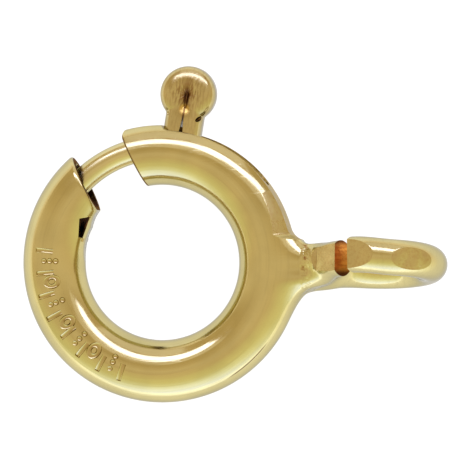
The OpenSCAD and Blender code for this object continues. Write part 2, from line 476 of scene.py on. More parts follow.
def outside_filed_rings(s, points):
    """How far points lie outside the soldered rings, with the outer side filed down beside the gap. The file
    takes its full depth off one stretch, and less and less to either side of it."""
    depth, full_from, full_to, rise, run = 0.064, 88, 125, 0.07, 8
    middle, half_reach, untouched = 100, 30, -1
    x, y, _ = points.T
    beyond = np.hypot(x, y) - (s.ring_r + s.tube_r - depth)
    degrees = np.degrees(np.arctan2(y, x))
    beyond -= rise * np.clip(np.maximum(full_from - degrees, degrees - full_to) / run, 0, None)
    beyond[np.abs(degrees - middle) > half_reach] = untouched
    return np.maximum(outside_soldered_rings(s, points), beyond)


def melt(s, piece, rounds=14):
    """Draws every point of a piece onto the surface of the filed and soldered rings, step by step."""
    largest_step, nudge, least_slope2, least_size = 0.06, 1e-4, 0.02, 1e-9
    mesh = piece.data
    flat = np.empty(len(mesh.vertices) * 3)
    mesh.vertices.foreach_get("co", flat)
    points = flat.reshape(-1, 3)
    for _ in range(rounds):
        distance = outside_filed_rings(s, points)
        slope = np.stack([(outside_filed_rings(s, points + step) - distance) / nudge
                          for step in np.eye(3) * nudge], axis=1)
        slope2 = np.maximum((slope ** 2).sum(axis=1), least_slope2)
        move = slope * (distance / slope2)[:, None]
        size = np.linalg.norm(move, axis=1)[:, None]
        points = points - move * np.minimum(1, largest_step / np.maximum(size, least_size))
    mesh.vertices.foreach_set("co", points.ravel())
    mesh.update()


def pressed_flats(s):
    """What the pliers flattened on the end ring, as boxes beyond each flat."""
    thick, broad = 0.26, 0.7
    # Each flat: the direction that it faces round the ring, its distance from the ring's middle, its turn
    # about the wire, how far it reaches each way along the wire, and how far its front end slopes.
    flats = ((114.8, 1.341, -3, 0.7, 0.1, 0),
             (130, 1.368, 0, 0.15, 0.68, 0.22),
             (53.5, 1.42, -8, 0.7, 0.7, 0))
    boxes = []
    for degrees, distance, turn, back, forward, slope in flats:
        flat = box("flat", (thick, back + forward, broad), (distance + thick / 2, (forward - back) / 2, 0))
        for vertex in flat.data.vertices:
            if vertex.co.y > 0 and vertex.co.x < distance + thick / 2:
                vertex.co.y -= slope
        flat.data.transform(end_ring_place(s) @ turned(degrees) @ moved(distance) @ turned(turn, "Y")
                            @ moved(-distance))
        boxes.append(given(flat, "Pressed gold"))
    return boxes


def split_end_ring(s, shell):
    """Cuts the split, which bares the metal under the gold, and springs the free end a little to one side."""
    broad, free_stretch, stiff_end, spring_out, round_wire = 1.3, 55, 8, 0.06, 1.3
    cutter = box("split", (broad, s.cut_w, broad), (s.end_ring_r, 0, 0))
    cutter.data.transform(end_ring_place(s) @ turned(s.cut_at))
    cut(shell, given(cutter, "Cut metal"))
    free_from = s.cut_at - free_stretch
    to_flat = end_ring_place(s).inverted()
    aside = end_ring_place(s).to_3x3() @ Vector((0, 0, -spring_out))
    for vertex in shell.data.vertices:
        flat = to_flat @ vertex.co
        degrees = math.degrees(math.atan2(flat.y, flat.x))
        from_wire = (flat - on_ray(degrees, s.end_ring_r)).length
        if free_from < degrees < s.cut_at and from_wire < s.end_wire_r * round_wire:
            vertex.co += aside * smooth_step(degrees, free_from, s.cut_at - stiff_end)


def mouth_wear(s, name, distance, side, worn):
    """What wear takes off a mouth's outer rim: a ring that follows the line where the cut meets the tube.
    The side is -1 where the tube lies to the left of the cut."""
    around, rounding, clear = 128, 5, 0.03
    inwards = worn * 0.6
    section = [(s.tube_r + clear, -clear), (s.tube_r - inwards, -clear)]
    for step in range(rounding + 1):
        quarter = math.radians(90 * step / rounding)
        section.append((s.tube_r - inwards * (1 - math.sin(quarter)), worn * (1 - math.cos(quarter))))
    section.append((s.tube_r + clear, worn))
    points, faces = [], []
    for step in range(around):
        across = 2 * math.pi * step / around
        for radius, depth in section:
            out = s.ring_r + radius * math.cos(across)
            place = math.radians(s.gap_dir - 90) + math.acos((distance + side * depth) / out)
            points.append((out * math.cos(place), out * math.sin(place), radius * math.sin(across)))
    count = len(section)
    for step in range(around):
        here, there = step * count, (step + 1) % around * count
        for corner in range(count):
            following = (corner + 1) % count
            faces.append((here + corner, here + following, there + following, there + corner))
    return from_points(name, points, faces)


def gap_cutters(s):
    """The space between the two parallel cuts, the worn rims, and the rounded outer corner of the right-hand
    mouth."""
    left_worn, right_worn, rounding, overlap, filed_off = 0.085, 0.032, 0.2, 0.02, 0.065
    left, right = gap_cuts(s)
    gap = box("gap", (s.gap_w, FAR, HIGH), ((left + right) / 2, FAR / 2, 0))
    gap.data.transform(turned(s.gap_dir - 90))
    corner_y = math.sqrt((s.ring_r + s.tube_r - filed_off) ** 2 - right ** 2)
    corner = box("corner", (rounding + overlap, 2 * rounding, HIGH),
                 (right + rounding / 2 - overlap / 2, corner_y, 0))
    cut(corner, rod("corner round", rounding, HIGH + 1, (right + rounding, corner_y - rounding, 0)))
    corner.data.transform(turned(s.gap_dir - 90))
    right_rim = mouth_wear(s, "right rim", right, 1, right_worn)
    left_rim = mouth_wear(s, "left rim", left, -1, left_worn)
    return [given(gap, "Browned edge"), left_rim, given(right_rim, "Browned edge"), corner]


def window_opening(start, end):
    """The pierced window in the upper inner side of the tube, narrower towards its far end."""
    slant, beyond, bottom, top = 4.0, 0.2, 0.05, 1.0
    # Each corner: its place round the ring and its distance from the ring's middle.
    outline = ((start + slant, 1.957), (start - beyond, 1.80), (end + beyond, 1.755), (end + beyond, 1.837))
    corners = [on_ray(*corner) for corner in outline]
    points = [(*corner.xy, height) for height in (bottom, top) for corner in corners]
    sides = [(i, (i + 1) % 4, (i + 1) % 4 + 4, i + 4) for i in range(4)]
    return from_points("window", points, [(0, 1, 2, 3), (7, 6, 5, 4), *sides])


def stamped_row(s):
    """A generic row of strokes, small rings and dots, which is pressed into the tube's crest by hand."""
    hand = random.Random(7)
    marks = []
    kinds = ("stroke", "dots", "stroke", "ring")
    first, last, count, middle_r = 174.5, 250.5, 15, 2.352
    stroke_r, stroke_above, stroke_half, slant = 0.07, 0.036, 17, 14
    ring_mark_r, ring_mark_wire_r, ring_mark_above, ring_mark_wide = 0.1, 0.056, 0.014, 1.35
    dot_r, dot_above, dot_apart = 0.074, 0.035, 0.14
    uneven_place, uneven_turn, uneven_r = 0.7, 4, 0.02
    for index in range(count):
        kind = kinds[index % len(kinds)]
        degrees = first + (last - first) * index / (count - 1)
        degrees += hand.uniform(-uneven_place, uneven_place)
        if kind == "stroke":
            pieces = [bent_rod("stroke", s.tube_r + stroke_above, stroke_r, 90 - stroke_half,
                               90 + stroke_half, steps=12, corners=16)]
            turn = slant + hand.uniform(-uneven_turn, uneven_turn)
            pieces[0].data.transform(turned(turn, "Y") @ turned(90, "X"))
        elif kind == "ring":
            pieces = [hoop("ring mark", ring_mark_r, ring_mark_wire_r, around=32, corners=16,
                           z=s.tube_r + ring_mark_above)]
            pieces[0].data.transform(Matrix.Scale(ring_mark_wide, 4, (1, 0, 0)))
        else:
            pieces = []
            for offset in (-dot_apart, 0, dot_apart):
                height = math.sqrt(s.tube_r ** 2 - offset ** 2) + dot_above
                pieces.append(ball("dot", dot_r, (offset, 0, height), segments=20, rings=12))
        for piece in pieces:
            piece.data.transform(turned(degrees) @ moved(middle_r + hand.uniform(-uneven_r, uneven_r)))
        marks += pieces
    return join("marks", *marks)


def filed_facet(s):
    """The dull facet that a file left on the outer upper side, from near the slot's far end to the neck,
    where the file lifted off. The file's path is a circle that is shifted a little from the ring's middle."""
    start, end, steps, depth, tilt, shift, shift_at = 2, 30.5, 60, 0.024, 46, 0.3, 60
    lifted_from, lift, broad, thick = 9, 0.5, 0.8, 0.42
    oblong_profile(s.tube_r - depth + thick / 2, thick, broad)
    profile = added("profile")
    out = s.ring_r - shift * math.cos(math.radians(shift_at - end))
    profile.data.transform(moved(out) @ turned(-tilt, "Y"))
    facet = swept("facet", start, end, steps)
    for vertex in facet.data.vertices:
        degrees = math.degrees(math.atan2(vertex.co.y, vertex.co.x))
        lifted = lift * max((lifted_from - degrees) / (lifted_from - start), 0.0) ** 2
        vertex.co += on_ray(degrees, math.cos(math.radians(tilt)), math.sin(math.radians(tilt))) * lifted
    facet.data.transform(Matrix.Translation(on_ray(shift_at, shift)))
    return given(facet, "Filed gold")


def track_cutters(s):
    """The flattened track that the pin slides over with its two run-outs, and the tube's bore, which leaves a
    wall under them."""
    run_out, wall = 0.35, 0.075
    track_to = s.pin_at + arc_deg(s.slot_w / 4, s.track_r)
    track = [band("track", s.track_r, FAR, HIGH, s.track_end, track_to, steps=140)]
    for degrees in (s.track_end, track_to):
        track.append(rod("run-out", run_out, HIGH, on_ray(degrees, s.track_r + run_out), corners=192))
    for cutter in track:
        given(cutter, "Filed gold")
    bore = hoop("bore", s.ring_r, s.bore_r, around=192, corners=40)
    cut(bore, band("under the track", s.track_r - wall, FAR, HIGH, s.track_end - arc_deg(run_out, s.track_r),
                   track_to + arc_deg(run_out, s.track_r), steps=90))
    return [*track, bore]


def slot_cutters(s):
    """The slot that the pin goes through, round at both ends."""
    deep, inside = 1.6, 0.002
    slot = [band("slot", s.ring_r, FAR, s.slot_w, s.slot_end, s.pin_at, steps=60)]
    for degrees in (s.slot_end, s.pin_at):
        slot.append(rod("slot end", s.slot_w / 2 - inside, deep, on_ray(degrees, s.ring_r + deep / 2),
                        (0, 90, degrees)))
    return [given(cutter, "Pressed gold") for cutter in slot]


def window_cutters(s):
    """Two file strokes across the inner side, one at each end of the window, and the window itself."""
    inner, file_long = s.ring_r - s.tube_r, 2.8
    window_from = past_left_cut(s, WINDOW_FROM, s.ring_r)
    # Each file stroke: its place round the ring, the file's radius and the depth.
    strokes = [rod("file", radius, file_long, on_ray(degrees, inner + depth - radius), corners=256)
               for degrees, radius, depth in ((142.5, 0.64, 0.115), (161, 1.1, 0.055))]
    return [*strokes, window_opening(window_from, window_from + arc_deg(WINDOW_LONG, s.ring_r))]


def bent_in_tab(s):
    """The tab at the window's far end, which stops the spring."""
    foot_in, head_out, broad = 0.057, 0.19, 0.7
    tab_from = past_left_cut(s, WINDOW_FROM, s.ring_r) + arc_deg(WINDOW_LONG, s.ring_r)
    return band("tab", s.ring_r - s.tube_r + foot_in, s.ring_r + head_out, broad, tab_from,
                tab_from + arc_deg(TAB_THICK, s.ring_r), steps=3)


class CLASP_OT_ring_shell(bpy.types.Operator):
    """Builds the hollow main ring with its solder neck and the open end ring"""
    bl_idname = "clasp.ring_shell"
    bl_label = "Ring and end ring"

    def execute(self, context):
        s = sizes()
        voxel = 0.036
        ring = hoop("ring", s.ring_r, s.tube_r, around=256, corners=80)
        end_ring = hoop("end ring", s.end_ring_r, s.end_wire_r, around=160, corners=56)
        end_ring.data.transform(end_ring_place(s))
        shell = join("ring_shell", ring, neck_horn(), end_ring)
        remesh(shell, voxel)
        for smoothing in (10, 4):
            relax(shell, smoothing)
            melt(s, shell)
            remesh(shell, voxel)
        relax(shell, 3)
        melt(s, shell, rounds=4)
        given(shell, "Polished gold")
        for cutters in (track_cutters, gap_cutters, slot_cutters, window_cutters):
            for cutter in cutters(s):
                cut(shell, cutter)
        for cutter in (filed_facet(s), stamped_row(s), *pressed_flats(s)):
            cut(shell, cutter)
        add(shell, bent_in_tab(s))
        split_end_ring(s, shell)
        lay_down(shell)
        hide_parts("ring_body")
        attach(shell, "ring")
        return {"FINISHED"}


# The bolt

def seamed_circle(s):
    """The bolt's section: a circle with a nick where its seam runs."""
    corners, seam_depth, seam_at = 96, 0.022, 146
    circle_profile(s.bolt_ring_r, s.bolt_r, corners)
    section = added("bolt section")
    middle = Vector((s.bolt_ring_r, 0, 0))
    towards_seam = Vector((math.cos(math.radians(seam_at)), 0, math.sin(math.radians(seam_at))))
    seam = middle + towards_seam * s.bolt_r
    nearest = min(section.data.vertices, key=lambda vertex: (vertex.co - seam).length)
    nearest.co += (middle - nearest.co).normalized() * seam_depth


class CLASP_OT_bolt(bpy.types.Operator):
    """Builds the curved bolt with its seam, its domed tip and its collar"""
    bl_idname = "clasp.bolt"
    bl_label = "Bolt"

    def execute(self, context):
        s = sizes()
        into_collar, at_tip, dome_share, hole_deep = 1, 1e-3, 0.8, 1.34
        tip = past_left_cut(s, BOLT_HIDE, s.bolt_ring_r)
        tail, collar_end = bolt_tail(s)
        seamed_circle(s)
        bolt = swept("bolt_rod", tail - into_collar, tip, steps=90)
        tip_middle, forward = on_ray(tip, s.bolt_ring_r), on_ray(tip + 90, 1)
        edit_edges(bolt, lambda place: abs((place - tip_middle).dot(forward)) < at_tip)
        bpy.ops.mesh.bevel(offset=s.bolt_r * dome_share, segments=8, profile=0.5, clamp_overlap=True)
        done()
        add(bolt, bent_rod("collar", s.ring_r, s.collar_r, collar_end, tail, steps=6, corners=64))
        cut(bolt, rod("tang hole", TANG_HOLE_R, hole_deep, on_ray(s.pin_at, s.ring_r), (0, 90, s.pin_at),
                      corners=48))
        lay_down(bolt)
        given(bolt, "Bolt gold")
        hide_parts("bolt")
        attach(bolt, "slider")
        return {"FINISHED"}


# The pin. It is made along +X with its head's middle at the origin, and is turned to its place at the end.

def pin_blank(s):
    """The head, a thick disc with a full round edge, and the squarish shank in one."""
    head_thick, fullness, squareness, above_bolt, voxel = 0.42, 3.6, 3.2, 0.02, 0.016
    head = ball("pin_head", 1, segments=96, rings=96)
    for vertex in head.data.vertices:
        out = min(math.hypot(vertex.co.x, vertex.co.y), 1.0)
        height = head_thick * (1 - out ** fullness) ** (1 / fullness)
        vertex.co = (vertex.co.x * s.head_r, vertex.co.y * s.head_r, math.copysign(height, vertex.co.z))
    foot = s.bolt_ring_r + s.bolt_r + above_bolt - s.head_at
    shank = rod("shank", s.shank_r, -foot, (foot / 2, 0, 0), (0, 90, 0))
    for vertex in shank.data.vertices:
        for axis in (1, 2):
            share = abs(vertex.co[axis]) / s.shank_r
            vertex.co[axis] = math.copysign(s.shank_r * share ** (2 / squareness), vertex.co[axis])
    pin = given(join("folded_pin", head, shank), "Pin gold")
    remesh(pin, voxel)
    relax(pin, 8)
    return pin


def draw_in_fold(pin):
    """The fold draws both faces of the head in, most of all at its eye and along the crease below it."""
    eye, crease_foot = Vector((0.0, 0, 0)), Vector((-0.26, 0, 0))
    wide, wide_depth, narrow, narrow_depth = 0.15, 0.075, 0.035, 0.04
    unmoved, full = 0.05, 0.3
    for vertex in pin.data.vertices:
        along = min(max(vertex.co.x, crease_foot.x), eye.x)
        aside = math.hypot(vertex.co.x - along, vertex.co.y)
        dish, crease = math.exp(-(aside / wide) ** 2), math.exp(-(aside / narrow) ** 2)
        drawn_in = (wide_depth * dish + narrow_depth * crease) * smooth_step(abs(vertex.co.z), unmoved, full)
        vertex.co.z -= math.copysign(drawn_in, vertex.co.z)


def part_legs(pin):
    """Opens the fold between the two legs, and nicks the metal where the head meets the shank."""
    top, half_open, deep, broad = -0.45, 6.5, 2.0, 1.4
    split = band("split", 0.0, deep, broad, -half_open, half_open, steps=4)
    split.data.transform(moved(top) @ turned(180))
    cut(pin, split)
    # Each nick: its place, its size, its turn and its finish.
    # The first nick's finish is near black: painted shade in the nick.
    nicks = (((-0.48, -0.355, 0.34), (0.11, 0.05, 0.10), -51, "Nicked gold"),
             ((-0.46, 0.36, 0.34), (0.06, 0.04, 0.06), 40, "Pressed gold"))
    for place, size, turn, finish in nicks:
        cut(pin, given(ball("nick", 1, place, size, turn), finish))


class CLASP_OT_pin(bpy.types.Operator):
    """Builds the folded pin with its round head and its two legs"""
    bl_idname = "clasp.pin"
    bl_label = "Pin"

    def execute(self, context):
        s = sizes()
        pin = pin_blank(s)
        draw_in_fold(pin)
        part_legs(pin)
        tang_top, tang_foot = -0.72, s.bolt_ring_r - s.bolt_r - s.head_at
        tang_middle = (tang_top + tang_foot) / 2
        add(pin, rod("tang", TANG_R, tang_top - tang_foot, (tang_middle, 0, 0), (0, 90, 0), corners=48))
        pin.data.transform(turned(s.pin_at) @ moved(s.head_at))
        lay_down(pin, 40)
        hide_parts("pin")
        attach(pin, "slider")
        return {"FINISHED"}


# The spring

def coil(s, name, start, end, whole_start, whole_end):
    """A stretch of the coil as a tube: its wire winds round the ring's own circle."""
    steps_a_turn = 18
    turns = s.spring_turns * (end - start) / (whole_end - whole_start)
    steps = round(turns * steps_a_turn)
    line = bpy.data.curves.new(name, "CURVE")
    line.dimensions = "3D"
    line.bevel_depth = s.spring_wire_r
    line.bevel_resolution = 2
    line.use_fill_caps = True
    spline = line.splines.new("POLY")
    spline.points.add(steps)
    for step, point in enumerate(spline.points):
        degrees = start + (end - start) * step / steps
        turn = math.radians(360 * s.spring_turns * (degrees - whole_start) / (whole_end - whole_start))
        place = on_ray(degrees, s.ring_r + s.coil_r * math.cos(turn), s.coil_r * math.sin(turn))
        point.co = (*place, 1)
    select(linked(name, line))
    bpy.ops.object.convert(target="MESH")
    piece = bpy.context.object
    piece.name = piece.data.name = name
    lay_down(piece, 60)
    given(piece, "Spring steel")
    return piece


class CLASP_OT_spring(bpy.types.Operator):
    """Builds the coil spring in a still half and a half that the bolt squeezes"""
    bl_idname = "clasp.spring"
    bl_label = "Spring"

    def execute(self, context):
        s = sizes()
        play, middle = 0.02, -85.0
        tab_end = past_left_cut(s, WINDOW_FROM + WINDOW_LONG + TAB_THICK, s.ring_r) - 360
        whole_start = tab_end + arc_deg(play + s.spring_wire_r, s.ring_r)
        _, collar_end = bolt_tail(s)
        whole_end = collar_end - arc_deg(play + s.spring_wire_r, s.ring_r)
        still = coil(s, "spring_still", whole_start, middle, whole_start, whole_end)
        working = coil(s, "spring_working", middle, whole_end, whole_start, whole_end)
        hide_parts("spring")
        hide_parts("spring")
        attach(still, "ring")
        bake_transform(working)
        return {"FINISHED"}


# Steps in making a finish

def feed(tree, socket, value):
    """Gives an input a value or another node's output."""
    if isinstance(value, bpy.types.NodeSocket):
        tree.links.new(value, socket)
    else:
        socket.default_value = value


def node(tree, kind, inputs=None, output=0, **settings):
    """Adds a shader node, feeds its inputs, and gives one of its outputs."""
    made = tree.nodes.new("ShaderNode" + kind)
    for key, value in settings.items():
        setattr(made, key, value)
    for key, value in (inputs or {}).items():
        feed(tree, made.inputs[key], value)
    return made.outputs[output]


def blend(tree, share, first, second):
    """Mixes two colours. A share of 1 gives the second."""
    return node(tree, "Mix", {0: share, 6: first, 7: second}, output=2, data_type="RGBA")


def maths(tree, operation, *values, clamp=False):
    return node(tree, "Math", dict(enumerate(values)), operation=operation, use_clamp=clamp)


def times(tree, first, *others):
    for other in others:
        first = maths(tree, "MULTIPLY", first, other)
    return first


def squares(tree, first, second):
    """The sum of the squares of two values."""
    return maths(tree, "ADD", times(tree, first, first), times(tree, second, second))


def fade(tree, value, low, high, to_low=0.0, to_high=1.0):
    """Turns a value that runs from low to high into one that runs smoothly between two others."""
    return node(tree, "MapRange", {"Value": value, "From Min": low, "From Max": high, "To Min": to_low,
                                   "To Max": to_high}, interpolation_type="SMOOTHSTEP")


def ramp(tree, value, stops):
    """Colours along a value that runs from -1 to 1."""
    made = tree.nodes.new("ShaderNodeValToRGB")
    while len(made.color_ramp.elements) < len(stops):
        made.color_ramp.elements.new(0.5)
    for element, (place, rgb) in zip(made.color_ramp.elements, stops):
        element.position = (place + 1) / 2
        element.color = (*rgb, 1)
    share = node(tree, "MapRange", {"Value": value, "From Min": -1.0, "From Max": 1.0})
    feed(tree, made.inputs["Fac"], share)
    return made.outputs["Color"]


def noise(tree, vector, scale, detail=2.0):
    return node(tree, "TexNoise", {"Vector": vector, "Scale": scale, "Detail": detail})


def separated(tree, vector):
    parts = tree.nodes.new("ShaderNodeSeparateXYZ")
    feed(tree, parts.inputs[0], vector)
    return parts.outputs


def shade(rgb, factor):
    return (*(channel * factor for channel in rgb), 1)


def tinted(rgb, factors):
    return [channel * factor for channel, factor in zip(rgb, factors)]


# What polished gold reflects at a low angle.
GOLD_EDGE = (0.62, 0.63, 0.66)


class Metal:
    """A metal finish in the making: its shader, and places on the piece in the main ring's plane, in
    millimetres."""

    def __init__(self, name, rgb, roughness, edge=GOLD_EDGE):
        self.rgb = rgb
        self.material = bpy.data.materials.new(name)
        self.material.use_nodes = True
        self.tree = tree = self.material.node_tree
        self.shader = tree.nodes["Principled BSDF"]
        self.shader.inputs["Metallic"].default_value = 1.0
        self.shader.inputs["Specular Tint"].default_value = (*edge, 1)
        self.place = node(tree, "Mapping", {"Vector": node(tree, "TexCoord", output="Object"),
                                            "Rotation": (0, LEAN, 0), "Scale": (1 / MM, 1 / MM, 1 / MM)})
        self.x, self.y, self.z = separated(tree, self.place)
        self.out = maths(tree, "SQRT", squares(tree, self.x, self.y))
        self.bumps = []
        cloud = fade(tree, self.noise(1.3, 3.0), 0.3, 0.7)
        self.colour = blend(tree, cloud, shade(rgb, 0.94), shade(rgb, 1.05))
        self.roughness = fade(tree, self.noise(3.1, 4.0), 0.3, 0.7, roughness * 0.8, roughness * 1.25)

    def noise(self, scale, detail=2.0):
        return noise(self.tree, self.place, scale, detail)

    def paint(self, share, rgb, rough=None):
        """Covers a share of the metal with another colour."""
        self.colour = blend(self.tree, share, self.colour, (*rgb, 1))
        if rough is not None:
            self.roughness = node(self.tree, "MapRange",
                                  {"Value": share, "To Min": self.roughness, "To Max": rough})

    def bump(self, height, millimetres):
        self.bumps.append((height, millimetres))

    def polishing_lines(self, depth=0.0028):
        """Fine lines that run round the ring, as a polishing wheel leaves them, in relief and in tone."""
        fineness, strength, darker = 11.0, 0.3, 0.78
        tree = self.tree
        across = node(tree, "CombineXYZ", {0: times(tree, self.out, fineness),
                                           1: times(tree, self.z, fineness)})
        along = node(tree, "VectorMath", {0: self.place, 1: (0.35, 0.35, 0.0)}, operation="MULTIPLY")
        lines = noise(tree, node(tree, "VectorMath", {0: across, 1: along}, operation="ADD"), 1.0, 3.0)
        self.bump(lines, depth)
        self.colour = blend(tree, fade(tree, lines, 0.5, 0.7, 0.0, strength), self.colour,
                            shade(self.rgb, darker))

    def scratches(self, turn, depth=0.0005):
        """Thin scratches in one direction, here and there."""
        stretched = node(self.tree, "Mapping", {"Vector": self.place, "Rotation": (0.4, 0.3, turn),
                                                "Scale": (1.2, 22.0, 9.0)})
        line = fade(self.tree, noise(self.tree, stretched, 1.0, 1.0), 0.66, 0.72)
        patch = fade(self.tree, self.noise(1.7), 0.5, 0.62)
        self.bump(times(self.tree, line, patch), -depth)

    def dents(self, size, depth):
        self.bump(self.noise(1 / size), depth)

    def finish(self):
        """Joins the colour, the roughness and the bumps to the shader."""
        tree = self.tree
        feed(tree, self.shader.inputs["Base Color"], self.colour)
        feed(tree, self.shader.inputs["Roughness"], self.roughness)
        normal = {}
        for height, millimetres in self.bumps:
            inputs = {"Height": height, "Distance": abs(millimetres) * MM, **normal}
            normal = {"Normal": node(tree, "Bump", inputs, invert=millimetres < 0)}
        feed(tree, self.shader.inputs["Normal"], normal["Normal"])


# The finishes

def ring_gold(s, f):
    """Polished gold with a dark film inside the tube, in the stamped marks and along the solder seam. Inside
    the tube and in the marks this dark is the film and painted shade together; a line of painted shade and a
    painted brown reflection are added as well.
    """
    metal = Metal("Polished gold", f.gold, f.roughness)
    tree = metal.tree
    depth = maths(tree, "SQRT", squares(tree, maths(tree, "SUBTRACT", metal.out, s.ring_r), metal.z))
    # Inside the tube the gold is painted near black: a dark film, and painted shade where the hollow lies in
    # shade.
    inside = times(tree, fade(tree, depth, s.bore_r + 0.03, s.bore_r + 0.045, 1.0, 0.0),
                   fade(tree, metal.out, s.track_r - 0.03, s.track_r - 0.02, 1.0, 0.0))
    # The marks are on the crest, on the side that faces away from the end ring. Deeper in them they are
    # painted darker: a dark film and painted shade.
    stamped = times(tree, fade(tree, metal.z, 0.45, 0.5), fade(tree, metal.x, 0.0, 0.3, 1.0, 0.0),
                    fade(tree, depth, s.tube_r - 0.045, s.tube_r - 0.004, 0.36, 0.0))
    # The seam is a spotty line across the neck.
    seam_x, sharpness = 3.12, 11.0
    spots = fade(tree, metal.noise(9.0, 3.0), 0.52, 0.62)
    from_seam = maths(tree, "ABSOLUTE", maths(tree, "SUBTRACT", metal.x, seam_x))
    seam = maths(tree, "SUBTRACT", 1.0, times(tree, from_seam, sharpness), clamp=True)
    seam = times(tree, seam, spots, fade(tree, metal.y, -0.35, -0.15))
    # A thin dark line of painted shade low on the outer side, drawn as the shade of a fine crease.
    shade_line_r, shade_line_at = 2.868, math.radians(-48)
    beside = maths(tree, "ABSOLUTE", maths(tree, "SUBTRACT", metal.out, shade_line_r))
    towards = maths(tree, "ADD", times(tree, metal.x, math.cos(shade_line_at)),
                    times(tree, metal.y, math.sin(shade_line_at)))
    line = times(tree, fade(tree, towards, 2.80, 2.85), fade(tree, metal.z, 0.0, 0.1),
                 fade(tree, beside, 0.004, 0.016, 0.9, 0.0))
    # Painted shade along the thin line.
    metal.paint(line, (0.10, 0.05, 0.015))
    # A dark film and painted shade in the stamped marks.
    metal.paint(stamped, (0.30, 0.15, 0.035))
    metal.paint(seam, (0.30, 0.13, 0.03), 0.4)
    # A dark film and painted shade inside the tube.
    metal.paint(inside, f.tarnish_and_shade, 0.5)
    rusty = fade(tree, metal.noise(4.0, 3.0), 0.5, 0.65, 0.0, 0.6)
    metal.paint(times(tree, inside, rusty), (0.17, 0.07, 0.035))
    # Near the window's upper corner a painted brown reflection lightens the dark inside.
    corner = on_ray(147, 1.9)
    away = squares(tree, maths(tree, "SUBTRACT", metal.x, corner.x),
                   maths(tree, "SUBTRACT", metal.y, corner.y))
    metal.paint(times(tree, inside, fade(tree, away, 0.02, 0.12, 0.9, 0.0)), (0.70, 0.36, 0.20), 0.6)
    solder = times(tree, fade(tree, metal.x, 3.0, 3.1), fade(tree, metal.x, 3.24, 3.32, 1.0, 0.0))
    metal.bump(times(tree, solder, metal.noise(8.0, 3.0)), 0.03)
    metal.polishing_lines()
    metal.scratches(0.5)
    metal.scratches(2.1)
    metal.finish()


def worked_gold(f, name, tint, roughness, dent_size, dent_depth, edge):
    """Gold that a tool has touched: duller, with small dents. It reflects as edge at a low angle."""
    metal = Metal(name, tinted(f.gold, tint), roughness, edge)
    grain = fade(metal.tree, metal.noise(14.0, 3.0), 0.45, 0.7)
    metal.paint(times(metal.tree, grain, 0.35), (0.42, 0.27, 0.10))
    metal.dents(dent_size, dent_depth)
    metal.scratches(1.2, 0.002)
    metal.finish()


def bolt_gold(f):
    metal = Metal("Bolt gold", f.bolt_gold, f.roughness * 1.6)
    metal.polishing_lines(0.0006)
    metal.scratches(0.9)
    metal.finish()


def pin_gold(s, f):
    """The pin's gold: the folding drew fine creases out from the eye in the middle of its head."""
    metal = Metal("Pin gold", tinted(f.gold, (0.90, 0.86, 0.86)), f.roughness * 1.4)
    tree = metal.tree
    # Here +X runs up the pin from the middle of its head.
    local = node(tree, "Mapping", {"Vector": metal.place, "Rotation": (0, 0, math.radians(-s.pin_at)),
                                   "Location": (-s.head_at, 0, 0)})
    flat = node(tree, "VectorMath", {0: local, 1: (1.0, 1.0, 0.0)}, operation="MULTIPLY")
    around = node(tree, "VectorMath", {0: flat}, operation="NORMALIZE")
    reach = node(tree, "VectorMath", {0: flat}, output="Value", operation="LENGTH")
    creases = noise(tree, around, 5.5, 3.0)
    on_head = times(tree, fade(tree, reach, 0.03, 0.10), fade(tree, reach, 0.32, 0.5, 1.0, 0.0))
    metal.bump(times(tree, creases, on_head), 0.012)
    # The eye is a dark oval of painted shade, longer up the pin than across it, with a brown halo of painted
    # shade.
    eye_drop, eye_across, eye_along = 0.05, 14.0, 5.0
    pin_x, pin_y, _ = separated(tree, local)
    beside = times(tree, pin_y, eye_across)
    beyond = times(tree, maths(tree, "ADD", pin_x, eye_drop), eye_along)
    eye = squares(tree, beside, beyond)
    eye_shade = times(tree, fade(tree, eye, 0.1, 1.6, 0.95, 0.0), fade(tree, creases, 0.3, 0.6, 0.75, 1.0))
    halo = times(tree, fade(tree, eye, 1.0, 6.0, 0.7, 0.0), fade(tree, creases, 0.3, 0.65, 0.4, 1.0))
    # Along the pin the folding left short brown streaks, most of them near the eye.
    stretched = node(tree, "Mapping", {"Vector": local, "Scale": (5.0, 26.0, 5.0)})
    near_eye = fade(tree, reach, 0.08, 0.42, 0.9, 0.16)
    streaks = times(tree, fade(tree, noise(tree, stretched, 1.0), 0.42, 0.66), near_eye)
    metal.paint(streaks, (0.22, 0.10, 0.025))
    # Painted shade: the halo round the eye and the eye itself.
    metal.paint(halo, (0.20, 0.08, 0.02))
    metal.paint(eye_shade, (0.09, 0.025, 0.008), 0.4)
    # Below the eye is a painted glint, a small bright yellow spot, and the dark line of the fold runs down
    # through it as painted shade.
    painted_glint_drop = 0.34
    glow = squares(tree, maths(tree, "ADD", pin_x, painted_glint_drop), pin_y)
    metal.paint(fade(tree, glow, 0.003, 0.02, 0.9, 0.0), (0.62, 0.42, 0.10))
    # The fold's dark line is painted shade.
    fold = times(tree, fade(tree, maths(tree, "ABSOLUTE", pin_y), 0.008, 0.034, 0.9, 0.0),
                 fade(tree, pin_x, -0.20, -0.28))
    metal.paint(fold, (0.12, 0.05, 0.015))
    metal.dents(0.3, 0.006)
    metal.scratches(0.2)
    metal.finish()


def cut_metal(f):
    """The coppery metal that the split bares: bright across its middle, dark towards its ends."""
    metal = Metal("Cut metal", f.cut_metal, 0.3)
    tree = metal.tree
    middle_y = 0.12
    stretched = node(tree, "Mapping", {"Vector": metal.place, "Scale": (1.0, 7.0, 1.0)})
    streaks = fade(tree, noise(tree, stretched, 1.6, 3.0), 0.35, 0.65)
    metal.paint(times(tree, streaks, 0.8), (0.80, 0.36, 0.07))
    off_middle = maths(tree, "ABSOLUTE", maths(tree, "SUBTRACT", metal.y, middle_y))
    metal.paint(fade(tree, off_middle, 0.2, 0.36), (0.10, 0.03, 0.01))
    metal.dents(0.08, 0.004)
    metal.finish()


